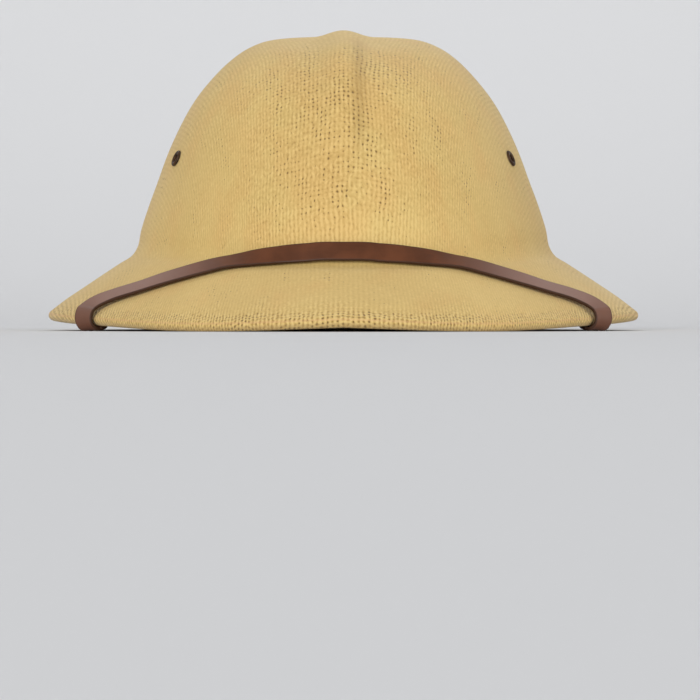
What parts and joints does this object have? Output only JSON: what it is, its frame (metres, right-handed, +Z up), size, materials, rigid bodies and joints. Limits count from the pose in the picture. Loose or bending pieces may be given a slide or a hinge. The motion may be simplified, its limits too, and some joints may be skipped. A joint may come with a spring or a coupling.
{
  "type": "pith helmet",
  "caption": "Woven straw pith helmet with a sloping brim, a raised rib over the crown, vent eyelets and a stowed leather chin strap.",
  "frame": {"origin": "on the ground under the middle of the brim, the middle of the bounding box's underside", "axes": "+Z up, -Y the way the wearer faces, +X to the wearer's left"},
  "size_m": [0.2796, 0.3299, 0.142],
  "materials": {
    "straw": "golden woven straw, matt",
    "strap_leather": "smooth brown leather with a soft sheen",
    "bronze": "dark aged bronze"
  },
  "bodies": {
    "root": {"shell": "straw", "chin_strap": "strap_leather", "eyelet_front_left": "bronze", "eyelet_front_right": "bronze", "eyelet_back_left": "bronze", "eyelet_back_right": "bronze", "strap_rivet_left": "bronze", "strap_rivet_right": "bronze"}
  },
  "joints": []
}
